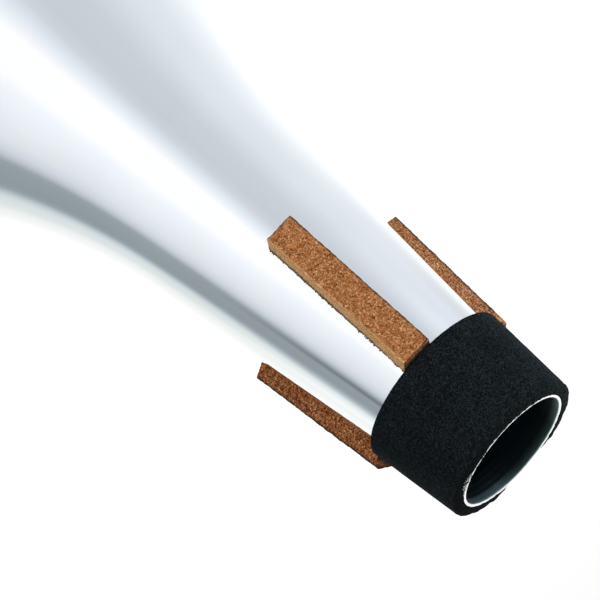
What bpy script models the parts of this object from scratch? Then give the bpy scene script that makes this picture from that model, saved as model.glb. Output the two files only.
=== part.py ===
"""A straight mute for a tenor horn, standing on its base with its mouth up.

A spun aluminium shell runs from the open mouth down a straight tapered neck, flares out to a
rounded bowl and ends in a foot. The foot's edge is folded up into a hem, which holds the flange
of a pressed base plate. A foam sleeve is stretched over the mouth end of the neck, and three cork
strips are glued to the neck behind it, to wedge the mute in the horn's bell.

The Z axis is the turning axis, z = 0 is the plane of the foot, and lengths are in metres. Angles
are in degrees, and azimuths turn anticlockwise about +Z from +X.
"""

import math

import bmesh
import bpy
from mathutils import Vector

OBJECT_NAME = "tenor_horn_straight_mute"

# Shell, from the mouth down
MOUTH_RADIUS = 0.018
SHELL_WALL = 0.0009
NECK_LENGTH = 0.1050
NECK_ANGLE = 5.71
FLARE_RADIUS = 0.190
FLARE_ANGLE = 31.0
SHOULDER_RADIUS = 0.058
BOWL_RADIUS = 0.030
BOWL_ANGLE = 60.0

# Foot of the shell and its hem, whose bend is measured on the inside
FOOT_FILLET = 0.0022
FOOT_DROP = 0.0020
HEM_BEND = 0.0003
HEM_HEIGHT = 0.0032

# Base plate, from its rim inwards
PLATE_WALL = 0.0010
PLATE_LAND = 0.0070
STEP_BEND = 0.0020
STEP_ANGLE = 35.0
STEP_RUN = 0.0008
DOME_ANGLE = 3.5

# Foam sleeve
SLEEVE_SETBACK = 0.0012
SLEEVE_LENGTH = 0.0261
SLEEVE_MOUTH_WALL = 0.0028
SLEEVE_BACK_WALL = 0.0023
SLEEVE_MOUTH_ROUNDING = 0.0013
SLEEVE_BACK_ROUNDING = 0.0005

# Cork strips: the name, azimuth and length of each, and what they share
CORK_STRIPS = (
    ("cork_strip_front", 270.0, 0.0477),
    ("cork_strip_right", 29.1, 0.0430),
    ("cork_strip_left", 156.2, 0.0432),
)
STRIP_WIDTH = 0.0094
STRIP_THICKNESS = 0.0050
STRIP_ROUNDING = 0.0005

# Clearance between pieces that touch, and how far a cutter reaches past what it cuts
SEAT_GAP = 0.0003
CUT_MARGIN = 0.004

# Fineness of the round shapes
TURN_STEPS = 60
CHORD_ERROR = 0.0001
FEWEST_STEPS = 2
ROUNDING_SEGMENTS = 2
MERGE_DISTANCE = 0.00001
SHARP_ANGLE = 40.0

DOWN, OUTWARDS, UP, INWARDS = 0.0, 90.0, 180.0, 270.0


def clear_scene():
    for obj in list(bpy.data.objects):
        bpy.data.objects.remove(obj)


def new_collection(name):
    collection = bpy.data.collections.new(name)
    bpy.context.scene.collection.children.link(collection)
    return collection


def new_material(name, colour, roughness, metallic):
    material = bpy.data.materials.new(name)
    material.use_nodes = True
    shader = material.node_tree.nodes["Principled BSDF"]
    shader.inputs["Base Color"].default_value = (*colour, 1.0)
    shader.inputs["Roughness"].default_value = roughness
    shader.inputs["Metallic"].default_value = metallic
    return material


def direction(heading):
    """The unit vector of a heading in the (radius, height) half plane."""
    angle = math.radians(heading)
    return Vector((math.sin(angle), -math.cos(angle)))


def chord_count(radius, turn):
    """How many chords an arc needs, to stay within CHORD_ERROR of the circle."""
    half_chord = math.acos(max(0.0, 1 - CHORD_ERROR / radius))
    return max(FEWEST_STEPS, math.ceil(math.radians(abs(turn)) / (2 * half_chord)))


def walk(start, heading, steps):
    """The points of a line in the (radius, height) half plane.

    The line leaves start at a heading, which is DOWN, OUTWARDS, UP, INWARDS or between them. A
    step is either a length to go straight on, or a pair (radius, turn) for an arc, which turns
    the heading towards OUTWARDS, then UP, where turn is positive.
    """
    points = [Vector(start)]
    for step in steps:
        if isinstance(step, tuple):
            radius, turn = step
            count = chord_count(radius, turn)
            chord = 2 * radius * math.sin(math.radians(abs(turn)) / (2 * count))
            for _ in range(count):
                points.append(points[-1] + chord * direction(heading + turn / (2 * count)))
                heading += turn / count
        else:
            points.append(points[-1] + step * direction(heading))
    return points


def raised(points, height):
    return [point + Vector((0.0, height)) for point in points]


def neck_radius(depth):
    """The outer radius of the neck at a depth below the mouth."""
    return MOUTH_RADIUS + depth * math.tan(math.radians(NECK_ANGLE))


def shell_side():
    """The outer line of the shell from the mouth, at height 0, to the end of the foot's wall."""
    return walk(
        (MOUTH_RADIUS, 0.0),
        NECK_ANGLE,
        [
            NECK_LENGTH,
            (FLARE_RADIUS, FLARE_ANGLE - NECK_ANGLE),
            (SHOULDER_RADIUS, DOWN - FLARE_ANGLE),
            (BOWL_RADIUS, -BOWL_ANGLE),
            (FOOT_FILLET, BOWL_ANGLE),
            FOOT_DROP,
        ],
    )


def hem_bend_outside():
    return HEM_BEND + SHELL_WALL


def mouth_height():
    """The height of the whole mute, from the foot's plane to the mouth."""
    return hem_bend_outside() - shell_side()[-1].y


def foot_radius():
    return shell_side()[-1].x


def hem():
    """The outer line of the hem, from the end of the foot's wall to the lip's upper edge."""
    slot = PLATE_WALL + 2 * SEAT_GAP
    return walk(
        (foot_radius(), hem_bend_outside()),
        DOWN,
        [
            (hem_bend_outside(), DOWN - OUTWARDS),
            slot - 2 * HEM_BEND,
            (hem_bend_outside(), DOWN - OUTWARDS),
            HEM_HEIGHT - hem_bend_outside(),
        ],
    )


def plate_line():
    """The upper line of the base plate, from its centre to the lower edge of its flange.

    The flange stands in the hem, and the plate lies over the hem's lip.
    """
    foot_of_flange = SHELL_WALL + SEAT_GAP
    bend = PLATE_WALL + SEAT_GAP
    flange = HEM_HEIGHT + SEAT_GAP + PLATE_WALL - bend - foot_of_flange
    rim = walk(
        (foot_radius() - SHELL_WALL - SEAT_GAP, foot_of_flange),
        UP,
        [
            flange,
            (bend, INWARDS - UP),
            PLATE_LAND,
            (STEP_BEND, -STEP_ANGLE),
            STEP_RUN,
            (STEP_BEND, STEP_ANGLE - DOME_ANGLE),
        ],
    )
    dome_radius = rim[-1].x / math.sin(math.radians(DOME_ANGLE))
    dome = walk(rim[-1], INWARDS - DOME_ANGLE, [(dome_radius, DOME_ANGLE)])
    dome[-1].x = 0.0
    return list(reversed(rim[:-1] + dome))


def sleeve_outline():
    """The closed outline of the foam sleeve, in the frame whose height 0 is the mouth."""
    mouth_end = SLEEVE_SETBACK
    back_end = SLEEVE_SETBACK + SLEEVE_LENGTH
    bore_at_mouth = Vector((neck_radius(mouth_end) + SEAT_GAP, -mouth_end))
    bore_at_back = Vector((neck_radius(back_end) + SEAT_GAP, -back_end))
    side = bore_at_back - bore_at_mouth
    side.x += SLEEVE_BACK_WALL - SLEEVE_MOUTH_WALL
    side_heading = math.degrees(math.atan2(side.x, -side.y))
    mouth_turn = OUTWARDS - side_heading
    back_turn = OUTWARDS + side_heading
    mouth_cut = SLEEVE_MOUTH_ROUNDING * math.tan(math.radians(mouth_turn) / 2)
    back_cut = SLEEVE_BACK_ROUNDING * math.tan(math.radians(back_turn) / 2)
    return walk(
        bore_at_mouth,
        OUTWARDS,
        [
            SLEEVE_MOUTH_WALL - mouth_cut,
            (SLEEVE_MOUTH_ROUNDING, -mouth_turn),
            side.length - mouth_cut - back_cut,
            (SLEEVE_BACK_ROUNDING, -back_turn),
            SLEEVE_BACK_WALL - back_cut,
        ],
    )


def new_object(name, bm, collection, material=None):
    mesh = bpy.data.meshes.new(name)
    bm.to_mesh(mesh)
    bm.free()
    obj = bpy.data.objects.new(name, mesh)
    if material:
        mesh.materials.append(material)
    collection.objects.link(obj)
    return obj


def turned(name, points, closed, collection, material=None):
    """A body turned about Z from a line whose outer side runs downwards."""
    bm = bmesh.new()
    vertices = [bm.verts.new((point.x, 0.0, point.y)) for point in points]
    for start, end in zip(vertices, vertices[1:]):
        bm.edges.new((start, end))
    if closed:
        bm.edges.new((vertices[-1], vertices[0]))
    obj = new_object(name, bm, collection, material)
    screw = obj.modifiers.new("turning", "SCREW")
    screw.steps = TURN_STEPS
    screw.render_steps = TURN_STEPS
    screw.use_merge_vertices = True
    screw.merge_threshold = MERGE_DISTANCE
    return obj


def add_wall(obj, thickness):
    """Gives a turned surface its wall, on the inside of the surface."""
    wall = obj.modifiers.new("wall", "SOLIDIFY")
    wall.thickness = thickness
    wall.offset = -1.0
    wall.use_even_offset = True


def shade_round(obj):
    """Makes an object's modifiers its mesh, and shades it smooth between its sharp corners."""
    graph = bpy.context.evaluated_depsgraph_get()
    mesh = bpy.data.meshes.new_from_object(obj.evaluated_get(graph))
    obj.modifiers.clear()
    obj.data = mesh
    mesh.shade_smooth()
    mesh.set_sharp_from_angle(angle=math.radians(SHARP_ANGLE))


def build_shell(collection, material):
    line = raised(shell_side(), mouth_height()) + hem()[1:]
    shell = turned("cone_shell", line, False, collection, material)
    add_wall(shell, SHELL_WALL)
    shade_round(shell)


def build_base_plate(collection, material):
    plate = turned("base_plate", plate_line(), False, collection, material)
    add_wall(plate, PLATE_WALL)
    shade_round(plate)


def build_sleeve(collection, material):
    outline = raised(sleeve_outline(), mouth_height())
    shade_round(turned("foam_sleeve", outline, True, collection, material))


def build_neck_cutter(collection):
    """A solid cone that clears the neck by SEAT_GAP all round, for what is glued to the neck."""
    top = -CUT_MARGIN
    bottom = NECK_LENGTH
    line = [
        Vector((0.0, mouth_height() - top)),
        Vector((neck_radius(top) + SEAT_GAP, mouth_height() - top)),
        Vector((neck_radius(bottom) + SEAT_GAP, mouth_height() - bottom)),
        Vector((0.0, mouth_height() - bottom)),
    ]
    cutter = turned("neck_cutter", line, False, collection)
    cutter.hide_render = True
    cutter.display_type = "WIRE"
    return cutter


def build_cork_strip(name, azimuth, length, cutter, collection, material):
    """A cork strip that lies along the neck, with its upper end against the sleeve."""
    middle_depth = SLEEVE_SETBACK + SLEEVE_LENGTH + SEAT_GAP + length / 2
    slope = math.tan(math.radians(NECK_ANGLE))
    bm = bmesh.new()
    bmesh.ops.create_cube(bm, size=1.0)
    bmesh.ops.scale(bm, vec=(STRIP_THICKNESS + CUT_MARGIN, STRIP_WIDTH, length), verts=bm.verts)
    for vertex in bm.verts:
        vertex.co.x += (STRIP_THICKNESS - CUT_MARGIN) / 2 - vertex.co.z * slope
    strip = new_object(name, bm, collection, material)
    turn = math.radians(azimuth)
    radius = neck_radius(middle_depth) + SEAT_GAP
    strip.rotation_euler.z = turn
    strip.location = (
        radius * math.cos(turn),
        radius * math.sin(turn),
        mouth_height() - middle_depth,
    )
    rounding = strip.modifiers.new("rounded edges", "BEVEL")
    rounding.width = STRIP_ROUNDING
    rounding.segments = ROUNDING_SEGMENTS
    seat = strip.modifiers.new("seat on the neck", "BOOLEAN")
    seat.operation = "DIFFERENCE"
    seat.solver = "EXACT"
    seat.object = cutter


def main():
    clear_scene()
    parts = new_collection(OBJECT_NAME)
    cutters = new_collection("cutters")
    aluminium = new_material("polished_aluminium", (0.86, 0.87, 0.89), 0.14, 1.0)
    foam = new_material("black_foam_rubber", (0.018, 0.019, 0.023), 0.92, 0.0)
    cork = new_material("pressed_cork", (0.47, 0.26, 0.11), 0.85, 0.0)
    build_shell(parts, aluminium)
    build_base_plate(parts, aluminium)
    build_sleeve(parts, foam)
    neck_cutter = build_neck_cutter(cutters)
    for name, azimuth, length in CORK_STRIPS:
        build_cork_strip(name, azimuth, length, neck_cutter, parts, cork)


main()
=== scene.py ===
"""The looks of a tenor horn straight mute: spun aluminium, foam rubber and pressed cork.

The mute stands on its foot with its open mouth up, and Z is its turning axis. Each sub-assembly
is a class that holds its sizes, builds its meshes and dresses them. Lengths are in metres, and
angles are in degrees where a name says so.
"""

from __future__ import annotations

import logging
import math
from dataclasses import dataclass
from enum import Enum
from functools import cached_property, reduce
from typing import Callable, Sequence

import bmesh
import bpy
import numpy as np
from mathutils import Euler, Matrix, Vector, noise

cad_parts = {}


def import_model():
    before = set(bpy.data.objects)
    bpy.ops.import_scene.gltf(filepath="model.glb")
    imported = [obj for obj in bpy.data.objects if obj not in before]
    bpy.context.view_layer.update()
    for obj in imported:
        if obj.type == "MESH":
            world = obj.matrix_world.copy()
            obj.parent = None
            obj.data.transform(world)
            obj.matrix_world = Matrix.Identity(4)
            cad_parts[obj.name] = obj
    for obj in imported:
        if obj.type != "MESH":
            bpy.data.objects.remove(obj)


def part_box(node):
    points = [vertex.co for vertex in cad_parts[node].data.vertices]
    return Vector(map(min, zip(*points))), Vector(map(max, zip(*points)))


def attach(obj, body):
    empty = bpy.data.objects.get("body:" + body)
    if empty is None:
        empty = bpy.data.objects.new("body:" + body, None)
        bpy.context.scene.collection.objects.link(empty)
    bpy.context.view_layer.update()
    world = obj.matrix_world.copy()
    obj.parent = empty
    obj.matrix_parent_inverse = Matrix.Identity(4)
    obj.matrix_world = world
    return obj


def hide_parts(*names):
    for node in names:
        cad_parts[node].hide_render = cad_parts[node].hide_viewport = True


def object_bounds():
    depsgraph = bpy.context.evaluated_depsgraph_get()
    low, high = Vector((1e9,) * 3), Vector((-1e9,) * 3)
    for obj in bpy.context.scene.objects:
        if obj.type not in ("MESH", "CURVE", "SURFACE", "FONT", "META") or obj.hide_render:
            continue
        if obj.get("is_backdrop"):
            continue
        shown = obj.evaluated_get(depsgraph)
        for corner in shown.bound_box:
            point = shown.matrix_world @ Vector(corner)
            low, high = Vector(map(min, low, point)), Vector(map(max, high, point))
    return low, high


LOG = logging.getLogger("straight_mute")

BODY = "root"
SAME_POINT = 1e-7
WHITE = (1.0, 1.0, 1.0)
RISING = (0.0, 1.0)
FALLING = (1.0, 0.0)
NOISE_SPAN = (0.3, 0.7)
MOUTH_SPAN = (-0.018, 0.018)

Span = tuple[float, float]
Triple = tuple[float, float, float]
Colour = Triple
Stops = Sequence[tuple[float, Colour]]
Step = tuple[int, int, int]
Node = bpy.types.Node
Socket = bpy.types.NodeSocket
Material = bpy.types.Material
Thing = bpy.types.Object


class Slot(Enum):
    """The material slots of the part's record."""

    SHELL = "shell_aluminium"
    PLATE = "plate_aluminium"
    FOAM = "foam"
    CORK = "cork"


class Tint(Enum):
    """The casts of the light in the studio, as factors of red, green and blue."""

    SLATE = (0.865, 1.0, 1.06)
    SEA = (0.925, 1.0, 0.985)
    COOL = (0.935, 1.0, 1.075)
    PALE = (0.963, 1.0, 1.045)
    LEAF = (0.985, 1.0, 0.985)
    PLAIN = (1.0, 1.0, 1.0)


class Feature(Enum):
    """What a cell texture measures."""

    NEAREST = "F1"
    EDGE = "DISTANCE_TO_EDGE"


class Mark(Enum):
    """The marks of a cork's mesh: the tone of sawn sides with painted shade where it is negative,
    and grime with a darker foot and painted shade on the end at the sleeve.
    """

    # Paler sawn sides where positive, painted shade on sides and ends where negative.
    SAWN = "sawn"
    # Grime at the edges, a darker foot, and painted shade low on the end at the sleeve.
    WORN = "worn"


# Node trees


class Wiring:
    """A node tree that is built with short calls."""

    def __init__(self, tree: bpy.types.NodeTree) -> None:
        """Starts on a tree, which it empties."""
        self.tree = tree
        self.tree.nodes.clear()

    def node(self, kind: str, inputs: dict | None = None, **settings: object) -> Node:
        """Adds a node.

        Args:
            kind: The node's type name.
            inputs: Values or output sockets, by input name or index.
            settings: Attributes of the node.

        Returns:
            The new node.
        """
        made = self.tree.nodes.new(kind)
        for name, value in settings.items():
            setattr(made, name, value)
        for key, value in (inputs or {}).items():
            socket = made.inputs[key]
            if isinstance(value, Socket):
                self.tree.links.new(value, socket)
            else:
                socket.default_value = (*value, 1.0) if socket.type == "RGBA" else value
        return made

    def math(self, operation: str, *values: object) -> Socket:
        """The result of a Math node for its values or sockets."""
        return self.node("ShaderNodeMath", dict(enumerate(values)), operation=operation).outputs[0]

    def product(self, *factors: object) -> Socket:
        """The product of two or more numbers."""
        return reduce(lambda first, second: self.math("MULTIPLY", first, second), factors)

    def total(self, *terms: object) -> Socket:
        """The sum of two or more numbers."""
        return reduce(lambda first, second: self.math("ADD", first, second), terms)

    def vector(self, operation: str, *values: object) -> Socket:
        """The vector of a Vector Math node for its values or sockets."""
        inputs = dict(enumerate(values))
        return self.node("ShaderNodeVectorMath", inputs, operation=operation).outputs[0]

    def scaled(self, vector: object, factor: object) -> Socket:
        """A vector times a number."""
        inputs = {0: vector, "Scale": factor}
        return self.node("ShaderNodeVectorMath", inputs, operation="SCALE").outputs[0]

    def split(self, vector: Socket) -> bpy.types.NodeOutputs:
        """The three parts of a vector or a colour."""
        return self.node("ShaderNodeSeparateXYZ", {0: vector}).outputs

    def remap(
        self,
        value: object,
        source: Span,
        target: tuple[object, object] = RISING,
        smooth: bool = True,
    ) -> Socket:
        """A value moved from one range to another, and held within it.

        Args:
            value: The number or socket to move.
            source: The range that it comes from.
            target: The range that it goes to.
            smooth: Whether the way between the ends is eased.

        Returns:
            The moved value.
        """
        kind = "SMOOTHSTEP" if smooth else "LINEAR"
        inputs = dict(enumerate((value, *source, *target)))
        return self.node("ShaderNodeMapRange", inputs, interpolation_type=kind).outputs[0]

    def ramp(self, value: Socket, stops: Stops) -> Socket:
        """A colour from a ramp.

        Args:
            value: The place on the ramp, from 0 to 1.
            stops: Each stop's place and colour, in order.

        Returns:
            The colour.
        """
        made = self.node("ShaderNodeValToRGB", {0: value})
        elements = made.color_ramp.elements
        while len(elements) > 1:
            elements.remove(elements[-1])
        elements[0].position, elements[0].color = stops[0][0], (*stops[0][1], 1.0)
        for place, colour in stops[1:]:
            elements.new(place).color = (*colour, 1.0)
        return made.outputs[0]

    def mix(self, share: object, first: object, second: object) -> Socket:
        """Two colours mixed, by the share of the second."""
        inputs = {0: share, 6: first, 7: second}
        return self.node("ShaderNodeMix", inputs, data_type="RGBA").outputs[2]

    def noise(self, place: Socket, scale: float, detail: float, output: str = "Fac") -> Socket:
        """Soft noise over a place."""
        inputs = {"Vector": place, "Scale": scale, "Detail": detail}
        return self.node("ShaderNodeTexNoise", inputs).outputs[output]

    def rings(self, run: Socket, pitch: float, detail: float) -> Socket:
        """Soft noise along one direction, as the rings on turned metal."""
        inputs = {"W": run, "Scale": 1.0 / pitch, "Detail": detail}
        return self.node("ShaderNodeTexNoise", inputs, noise_dimensions="1D").outputs["Fac"]

    def cells(
        self, place: Socket, scale: object, feature: Feature = Feature.NEAREST
    ) -> bpy.types.NodeOutputs:
        """The outputs of a texture of random cells."""
        inputs = {"Vector": place, "Scale": scale}
        return self.node("ShaderNodeTexVoronoi", inputs, feature=feature.value).outputs

    def bump(self, height: Socket, strength: float, distance: float) -> Socket:
        """The normal of a fine relief."""
        inputs = {"Height": height, "Strength": strength, "Distance": distance}
        return self.node("ShaderNodeBump", inputs).outputs["Normal"]


def painted(name: str, surface: Callable[[Wiring], Socket]) -> Material:
    """A material, made the first time it is asked for.

    Args:
        name: Its name.
        surface: Builds its tree, and gives the socket of its surface.

    Returns:
        The material.
    """
    found = bpy.data.materials.get(name)
    if found:
        return found
    material = bpy.data.materials.new(name)
    material.use_nodes = True
    wiring = Wiring(material.node_tree)
    wiring.node("ShaderNodeOutputMaterial", {"Surface": surface(wiring)})
    return material


# Finishes


@dataclass(frozen=True)
class Finish:
    """A finish of the mute, which is one material."""

    name: str

    @property
    def material(self) -> Material:
        """The finish's material."""
        return painted(self.name, self.surface)

    def surface(self, wiring: Wiring) -> Socket:
        """A shader on object coordinates, with the finish's own inputs."""
        place = wiring.node("ShaderNodeTexCoord").outputs["Object"]
        return wiring.node("ShaderNodeBsdfPrincipled", self.inputs(wiring, place)).outputs["BSDF"]

    def inputs(self, wiring: Wiring, place: Socket) -> dict[str, object]:
        """What goes into the shader, in each finish's own way.

        Args:
            wiring: The material's tree.
            place: The object coordinates.

        Returns:
            The values or sockets by input name.
        """
        raise NotImplementedError


@dataclass(frozen=True)
class SpunAluminium(Finish):
    """Polished aluminium with the faint rings that the spinning tool leaves."""

    colour: Colour = (0.905, 0.912, 0.922)
    roughness: float = 0.05
    ring_pitch: float = 0.0011
    ring_height: float = 0.0000010
    pit_depth: float = 6.0
    across_disc: bool = False

    def inputs(self, wiring: Wiring, place: Socket) -> dict[str, object]:
        """Rings that run round the axis, tiny pits and a film of handling.

        Args:
            wiring: The material's tree.
            place: The object coordinates.

        Returns:
            The values or sockets by input name.
        """
        run = wiring.split(place)["Z"]
        if self.across_disc:
            length = wiring.node("ShaderNodeVectorMath", {0: place}, operation="LENGTH")
            run = length.outputs["Value"]
        rings = wiring.rings(run, self.ring_pitch, 3.0)
        film = wiring.noise(place, 42.0, 4.0)
        pits = wiring.remap(wiring.cells(place, 75.0)["Distance"], (0.010, 0.022))
        shade = wiring.remap(film, (0.35, 0.75), (0.975, 1.0))
        rough = wiring.remap(film, (0.3, 0.8), (self.roughness, self.roughness * 1.35))
        ringed = wiring.remap(rings, NOISE_SPAN, (-0.01, 0.012), smooth=False)
        height = wiring.total(rings, wiring.product(pits, self.pit_depth))
        return {
            "Base Color": wiring.scaled(self.colour, shade),
            "Roughness": wiring.total(rough, ringed),
            "Metallic": 1.0,
            "Normal": wiring.bump(height, 1.0, self.ring_height),
        }


@dataclass(frozen=True)
class DullBore(Finish):
    """The inside of the shell: dull metal with a painted highlight at the lip, and painted shade
    that deepens below it.
    """

    mouth_height: float = 0.0
    # Levels of the painted highlight at the lip and of the painted shade on the wall below it.
    lip: float = 0.48
    wall: float = 0.125
    lip_depth: float = 0.0007
    lip_fade: float = 0.0026
    # The painted highlight right at the mouth's edge.
    rim_highlight_gain: float = 1.8
    brightest: float = 0.95
    # The painted shade deep in the bore.
    deep_shade: Colour = (0.029, 0.047, 0.064)
    # Painted reflections of the tent and painted shade, across the bore by side.
    side_reflections_and_shade: Stops = (
        (0.04, (1.05, 1.50, 1.38)),
        (0.13, (0.38, 0.60, 0.54)),
        (0.30, (0.29, 0.46, 0.44)),
        (0.50, (0.30, 0.42, 0.46)),
        (0.62, (0.50, 0.74, 0.80)),
        (0.72, (0.86, 1.20, 1.32)),
        (0.85, (0.70, 1.03, 1.10)),
    )
    roughness: float = 0.42
    ring_pitch: float = 0.0004
    band_pitch: float = 0.0013
    glow_depths: Span = (0.0003, 0.0010)
    deep_depths: Span = (0.001, 0.0082)
    band_depths: Span = (0.0008, 0.0020)
    band_swing: Span = (-0.30, 0.42)
    banded_side: Span = (0.45, 0.72)

    def inputs(self, wiring: Wiring, place: Socket) -> dict[str, object]:
        """A metal with rings of uneven sheen, painted reflections and highlights, and painted
        shade that darkens it with the depth.

        Args:
            wiring: The material's tree.
            place: The object coordinates.

        Returns:
            The values or sockets by input name.
        """
        across, _, height = wiring.split(place)
        depth = wiring.math("SUBTRACT", self.mouth_height, height)
        side = wiring.remap(across, MOUTH_SPAN, smooth=False)
        rings = wiring.rings(height, self.ring_pitch, 2.0)
        bands = wiring.rings(height, self.band_pitch, 1.0)
        lip = (self.lip_depth, self.lip_depth + self.lip_fade)
        # Painted highlight at the lip, fading into painted shade down the bore.
        level = wiring.remap(depth, lip, (self.lip, self.wall))
        glow = wiring.remap(depth, self.glow_depths, (self.rim_highlight_gain, 1.0))
        # Painted reflections and shade by side, times the lip's highlight and the wall's shade.
        colour = wiring.scaled(wiring.ramp(side, self.side_reflections_and_shade), wiring.product(level, glow))
        colour = wiring.vector("MINIMUM", colour, (self.brightest,) * 3)
        # Painted shade deep in the bore.
        colour = wiring.mix(wiring.remap(depth, self.deep_depths), colour, self.deep_shade)
        # Painted highlight streaks in rings, below the lip on one side.
        swing = wiring.remap(bands, (0.35, 0.65), self.band_swing)
        below = wiring.remap(depth, self.band_depths)
        where = wiring.product(below, wiring.remap(side, self.banded_side))
        banded = wiring.product(swing, where)
        shade = wiring.product(
            wiring.remap(wiring.noise(place, 90.0, 5.0), NOISE_SPAN, (0.85, 1.1)),
            wiring.remap(rings, NOISE_SPAN, (0.85, 1.12)),
            wiring.total(banded, 1.0),
        )
        sheen = (self.roughness - 0.03, self.roughness + 0.04)
        return {
            "Base Color": wiring.scaled(colour, shade),
            "Roughness": wiring.remap(rings, NOISE_SPAN, sheen),
            "Metallic": 1.0,
        }


@dataclass(frozen=True)
class FoamRubber(Finish):
    """Black foam rubber, matt, with a fine open grain."""

    pore: Colour = (0.0010, 0.0014, 0.0016)
    skin: Colour = (0.0100, 0.0136, 0.0158)
    dust: Colour = (0.036, 0.046, 0.050)
    grain: float = 0.00029
    skin_share: float = 0.43
    gain: float = 2.05
    cell_contrast: float = 1.8
    cell_gain: float = 2.9
    least_light: float = 0.10
    fleck_scale: float = 520.0
    # Painted light: the foam is made lighter towards its -X side.
    lit_side_span: Span = (-0.0160, -0.0230)
    lit_side_gain: float = 1.8
    # Painted light and shade on the front face: lighter towards -X, darker towards +X.
    front_painted_shade: Stops = (
        (0.0, (1.15, 1.15, 1.00)),
        (0.5, (0.68, 0.68, 0.60)),
        (1.0, (0.34, 0.36, 0.30)),
    )

    def inputs(self, wiring: Wiring, place: Socket) -> dict[str, object]:
        """Cell walls that catch the light over dark pores, a few pale specks of dust, and painted
        light and shade on the front face and the -X side.

        Args:
            wiring: The material's tree.
            place: The object coordinates.

        Returns:
            The values or sockets by input name.
        """
        cells = wiring.cells(place, 1.0 / self.grain)
        own = wiring.math("POWER", wiring.split(cells["Color"])[0], self.cell_contrast)
        walls = wiring.remap(cells["Distance"], (0.05, 0.60))
        light = wiring.product(own, self.cell_gain, walls)
        patches = wiring.remap(wiring.noise(place, 120.0, 3.0), NOISE_SPAN, (0.75, 1.25))
        light = wiring.product(wiring.total(light, self.least_light), patches)
        colour = wiring.mix(wiring.product(light, self.skin_share), self.pore, self.skin)
        colour = wiring.scaled(colour, self.gain)
        # Painted light and shade on faces that look up the axis, by side.
        normal = wiring.node("ShaderNodeNewGeometry").outputs["Normal"]
        front = wiring.remap(wiring.split(normal)["Z"], (0.35, 0.75))
        across = wiring.split(place)["X"]
        front_shade = wiring.ramp(wiring.remap(across, MOUTH_SPAN, smooth=False), self.front_painted_shade)
        colour = wiring.vector("MULTIPLY", colour, wiring.mix(front, WHITE, front_shade))
        # Painted light on the -X side.
        lit_side = wiring.remap(across, self.lit_side_span, (1.0, self.lit_side_gain))
        flecks = wiring.cells(place, self.fleck_scale)
        fleck = wiring.product(
            wiring.remap(flecks["Distance"], (0.07, 0.13), FALLING),
            wiring.remap(wiring.split(flecks["Color"])[0], (0.93, 0.95)),
        )
        return {
            "Base Color": wiring.mix(fleck, wiring.scaled(colour, lit_side), self.dust),
            "Roughness": 0.9,
            "Specular IOR Level": 0.03,
            "Normal": wiring.bump(light, 1.0, 0.00007),
        }


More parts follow.
